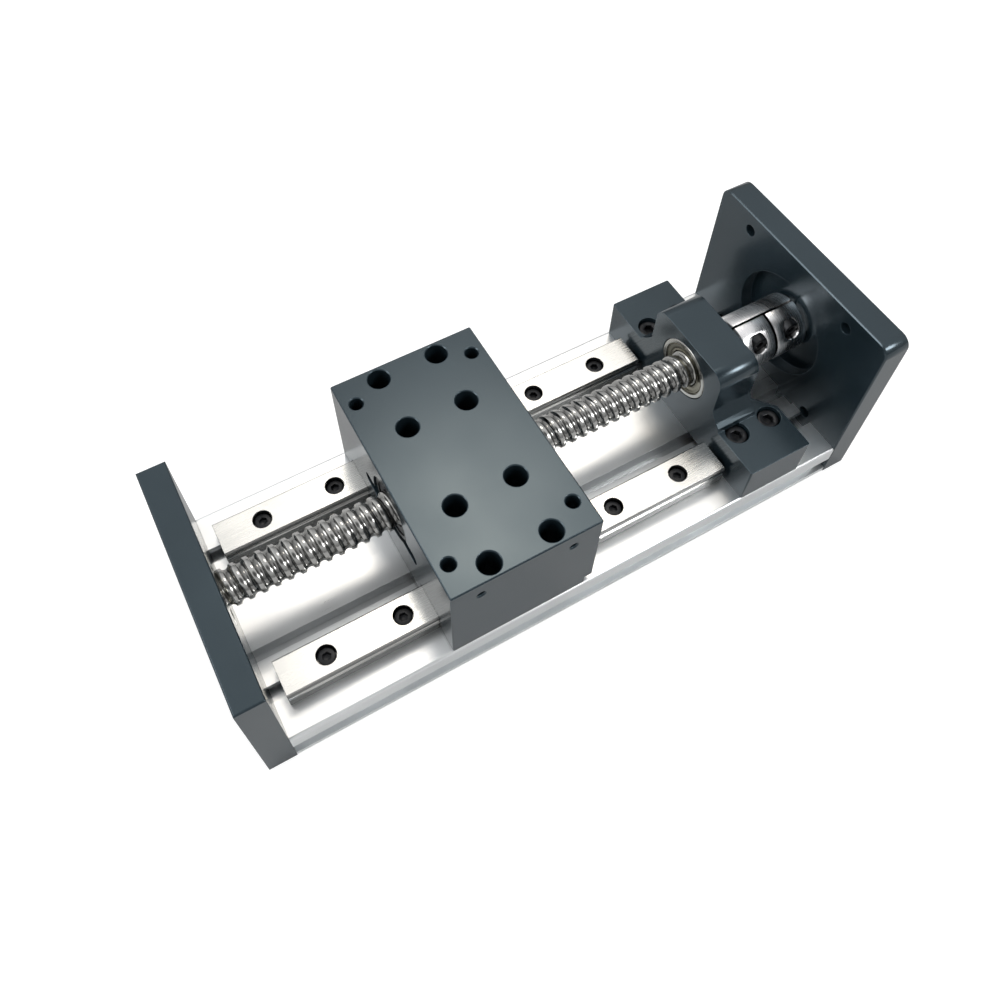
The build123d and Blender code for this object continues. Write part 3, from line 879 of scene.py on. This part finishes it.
def combined(target, *steps):
    """The mesh of a loose object after exact Boolean steps; the loose objects go."""
    for tool, operation in steps:
        step = target.modifiers.new(operation.lower(), "BOOLEAN")
        step.operation = operation
        step.solver = "EXACT"
        step.object = tool
    graph = bpy.context.evaluated_depsgraph_get()
    bm = bmesh.new()
    bm.from_mesh(bpy.data.meshes.new_from_object(target.evaluated_get(graph)))
    for loose in (target, *(tool for tool, operation in steps)):
        bpy.data.objects.remove(loose)
    bmesh.ops.remove_doubles(bm, verts=bm.verts, dist=SAME_POINT)
    return bm


def mount_places(name):
    """The middles of a mount's holes, their direction outwards and their radius."""
    entry = next(mount for mount in frame["record"]["mounts"] if mount["name"] == name)
    sizes = entry["dims"]
    middle, out = Vector(entry["pos_m"]), Vector(entry["axis"])
    half_x = sizes.get("spacing_x_mm", 0.0) * MM / 2
    half_y = sizes.get("spacing_y_mm", 0.0) * MM / 2
    places = [middle + Vector((x, y, 0)) for x in (-half_x, half_x) for y in sorted({-half_y, half_y})]
    return places, out, sizes["hole_r_mm"] * MM


def cone(bm, centre, radius, steps):
    """A cone of 45 degrees that cuts a circle of the given radius into the local XY plane."""
    rim = radius + CONE_EXCESS
    ring = []
    for i in range(steps):
        angle = TURN * i / steps
        point = Vector((rim * math.cos(angle), rim * math.sin(angle), CONE_EXCESS))
        ring.append(bm.verts.new(centre @ point))
    tip = bm.verts.new(centre @ Vector((0, 0, -radius)))
    bm.faces.new(ring)
    for i in range(steps):
        bm.faces.new((ring[(i + 1) % steps], ring[i], tip))


def mouth_cones(bm, name, edge):
    """Cones that break the rims of a mount's holes by the given width."""
    places, out, radius = mount_places(name)
    turn = out.to_track_quat("Z", "Y").to_matrix().to_4x4()
    for place in places:
        cone(bm, Matrix.Translation(place) @ turn, radius + edge, MOUTH_STEPS)


def rim_cones(bm, node, edge):
    """Cones that break the rims of the counterbores over a node's screws."""
    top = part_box("table_block")[1].z
    verts = frame["nodes"]["table_block"].data.vertices
    corners = [vert.co for vert in verts if top - vert.co.z < SAME_POINT]
    for low, high in solid_boxes(node):
        middle = Vector(((low.x + high.x) / 2, (low.y + high.y) / 2, top))
        radius = min((corner - middle).length for corner in corners)
        cone(bm, Matrix.Translation(middle), radius + edge, RIM_STEPS)


class SLIDE_OT_table(bpy.types.Operator):
    """Join the table's block and skirt into one body and break the rims of its holes"""

    bl_idname = "slide.table"
    bl_label = "Table"

    def execute(self, context):
        cones = bmesh.new()
        mouth_cones(cones, "table_corner_holes", 0.35 * MM)
        mouth_cones(cones, "table_near_side_holes", 0.45 * MM)
        mouth_cones(cones, "table_far_side_holes", 0.45 * MM)
        rim_cones(cones, "carriage_screws", 0.3 * MM)
        block, skirt = welded_copy("table_block"), welded_copy("table_skirt")
        bm = combined(block, (skirt, "UNION"), (loose_object("mouths", cones), "DIFFERENCE"))
        bmesh.ops.dissolve_limit(bm, angle_limit=math.radians(0.5), verts=bm.verts, edges=bm.edges)
        piece = place_piece("table_body", bm, "table_block", 30.0)
        break_edges(piece, EDGE_BREAK, 60.0)
        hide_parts("table_skirt")
        return {"FINISHED"}


class SLIDE_OT_coupling(bpy.types.Operator):
    """Finish the clamp coupling"""

    bl_idname = "slide.coupling"
    bl_label = "Coupling"

    def execute(self, context):
        dress("coupling_body", 0.1 * MM)
        return {"FINISHED"}


class SLIDE_OT_carriages(bpy.types.Operator):
    """Finish the carriages, the small pieces inside the table, and the nut, whose black oxide is painted
    shade in the table's bore
    """

    bl_idname = "slide.carriages"
    bl_label = "Carriages and nut"

    def execute(self, context):
        for node in (
            "carriage_near", "carriage_far", "carriage_end_caps", "carriage_seals",
            "nut_wipers", "nut_set_screws",
        ):
            dress(node)
        # Painted shade: the ball nut takes the screws' black oxide so that the table's bore looks dark
        # inside.
        dress("ball_nut").data.materials[0] = finish("black_screws")
        return {"FINISHED"}


class SLIDE_OT_stage(bpy.types.Operator):
    """Make the floor, the lamps, the world and the camera"""

    bl_idname = "slide.stage"
    bl_label = "Stage"

    def execute(self, context):
        sizes = settings().stage
        scene = context.scene
        scene.view_settings.view_transform = "Standard"
        bm = bmesh.new()
        reach = 6.0
        height = -0.2 * MM
        corners = ((-reach, -reach), (reach, -reach), (reach, reach), (-reach, reach))
        bm.faces.new([bm.verts.new((x, y, height)) for x, y in corners])
        floor = loose_object("floor", bm)
        floor.data.materials.append(self.floor_paper())
        self.light_world(scene, sizes)
        self.place_camera(scene, sizes)
        return {"FINISHED"}

    def floor_paper(self):
        """White paper that stays white where nothing shades it."""
        material, tree, shader, place = new_material("floor_paper", 0.0, 0.9, (0.5, 0.5, 0.5))
        ray = tree.add("ShaderNodeLightPath")
        seen = tree.ramp(ray.outputs["Is Camera Ray"], 0.0, settings().stage.floor_glow, 0.0, 1.0)
        mirrored = tree.maths("ADD", ray.outputs["Is Glossy Ray"], ray.outputs["Is Transmission Ray"])
        mirrored = tree.ramp(mirrored, 0.0, settings().stage.floor_mirror, 0.0, 1.0)
        shader.inputs["Emission Color"].default_value = WHITE
        shader.inputs["Specular IOR Level"].default_value = 0.0
        tree.link(tree.maths("ADD", seen, mirrored), shader.inputs["Emission Strength"])
        return material

    def light_world(self, scene, sizes):
        """A studio of soft panels round the object; the camera itself sees plain white."""
        world = bpy.data.worlds.new("studio")
        scene.world = world
        world.use_nodes = True
        tree = Tree(world)
        shader = world.node_tree.nodes["Background"]
        towards = tree.add("ShaderNodeTexCoord").outputs["Generated"]
        light = tree.ramp(tree.along(towards, "Z"), sizes.horizon, sizes.zenith, -0.1, 0.9)
        missing = self.panel(tree, towards, DARK_PATCH, sizes.dark_patch)
        light = tree.maths("MULTIPLY", light, tree.ramp(missing, 1.0, 0.0, 0.0, 1.0))
        for panel, level in (
            (BACK_PANEL, sizes.back_panel), (LEFT_PANEL, sizes.left_panel), (NEAR_PANEL, sizes.near_panel),
        ):
            light = tree.maths("ADD", light, self.panel(tree, towards, panel, level))
        lamp = self.panel(tree, towards, TOP_PANEL, 1.0)
        light = tree.maths("ADD", light, tree.ramp(lamp, 0.0, sizes.top_panel, 0.0, 1.0))
        tree.link(tree.mix(lamp, WHITE, WARM_WHITE), shader.inputs["Color"])
        seen = tree.add("ShaderNodeLightPath").outputs["Is Camera Ray"]
        tree.link(tree.mix(seen, light, 1.0, "FLOAT", "VALUE"), shader.inputs["Strength"])

    def panel(self, tree, towards, panel, level):
        """The light of one soft round panel."""
        direction, inner, outer = panel
        facing = tree.facing(towards, Vector(direction).normalized())
        edge, core = math.cos(math.radians(outer)), math.cos(math.radians(inner))
        return tree.ramp(facing, 0.0, level, edge, core, "SMOOTHSTEP")

    def place_camera(self, scene, sizes):
        """The camera at the photograph's place, with its small framing shift."""
        data = bpy.data.cameras.new("camera")
        data.sensor_width = 36.0
        data.lens = sizes.lens
        data.shift_x = sizes.shift_x
        data.shift_y = sizes.shift_y
        data.clip_start = 0.01
        camera = bpy.data.objects.new("camera", data)
        scene.collection.objects.link(camera)
        axes = (CAMERA_RIGHT, CAMERA_UP, CAMERA_RIGHT.cross(CAMERA_UP))
        turn = Matrix(axes).transposed().to_4x4()
        camera.matrix_world = Matrix.Translation(CAMERA_PLACE) @ turn
        scene.camera = camera


class SLIDE_PT_panel(bpy.types.Panel):
    """Lists the steps that make the sliding table"""

    bl_idname = "SLIDE_PT_panel"
    bl_label = "Sliding table"
    bl_space_type = "VIEW_3D"
    bl_region_type = "UI"
    bl_category = "Slide"

    def draw(self, context):
        for operator in OPERATORS:
            self.layout.operator(operator.bl_idname)


OPERATORS = (
    SLIDE_OT_base,
    SLIDE_OT_machined,
    SLIDE_OT_table,
    SLIDE_OT_carriages,
    SLIDE_OT_ball_screw,
    SLIDE_OT_bearings,
    SLIDE_OT_coupling,
    SLIDE_OT_fasteners,
    SLIDE_OT_stage,
)
GROUPS = (BallScrewSizes, FastenerSizes, Finishes, StageSizes, SlideSettings)


def register():
    """Registers the classes and the scene's settings."""
    for kind in (*GROUPS, *OPERATORS, SLIDE_PT_panel):
        bpy.utils.register_class(kind)
    bpy.types.Scene.slide_settings = PointerProperty(type=SlideSettings)


def unregister():
    """Takes the classes and the settings out again."""
    del bpy.types.Scene.slide_settings
    for kind in reversed((*GROUPS, *OPERATORS, SLIDE_PT_panel)):
        bpy.utils.unregister_class(kind)


def main():
    """Makes every piece and the stage."""
    register()
    for operator in OPERATORS:
        group, name = operator.bl_idname.split(".")
        getattr(getattr(bpy.ops, group), name)()


if __name__ == "__main__":
    main()
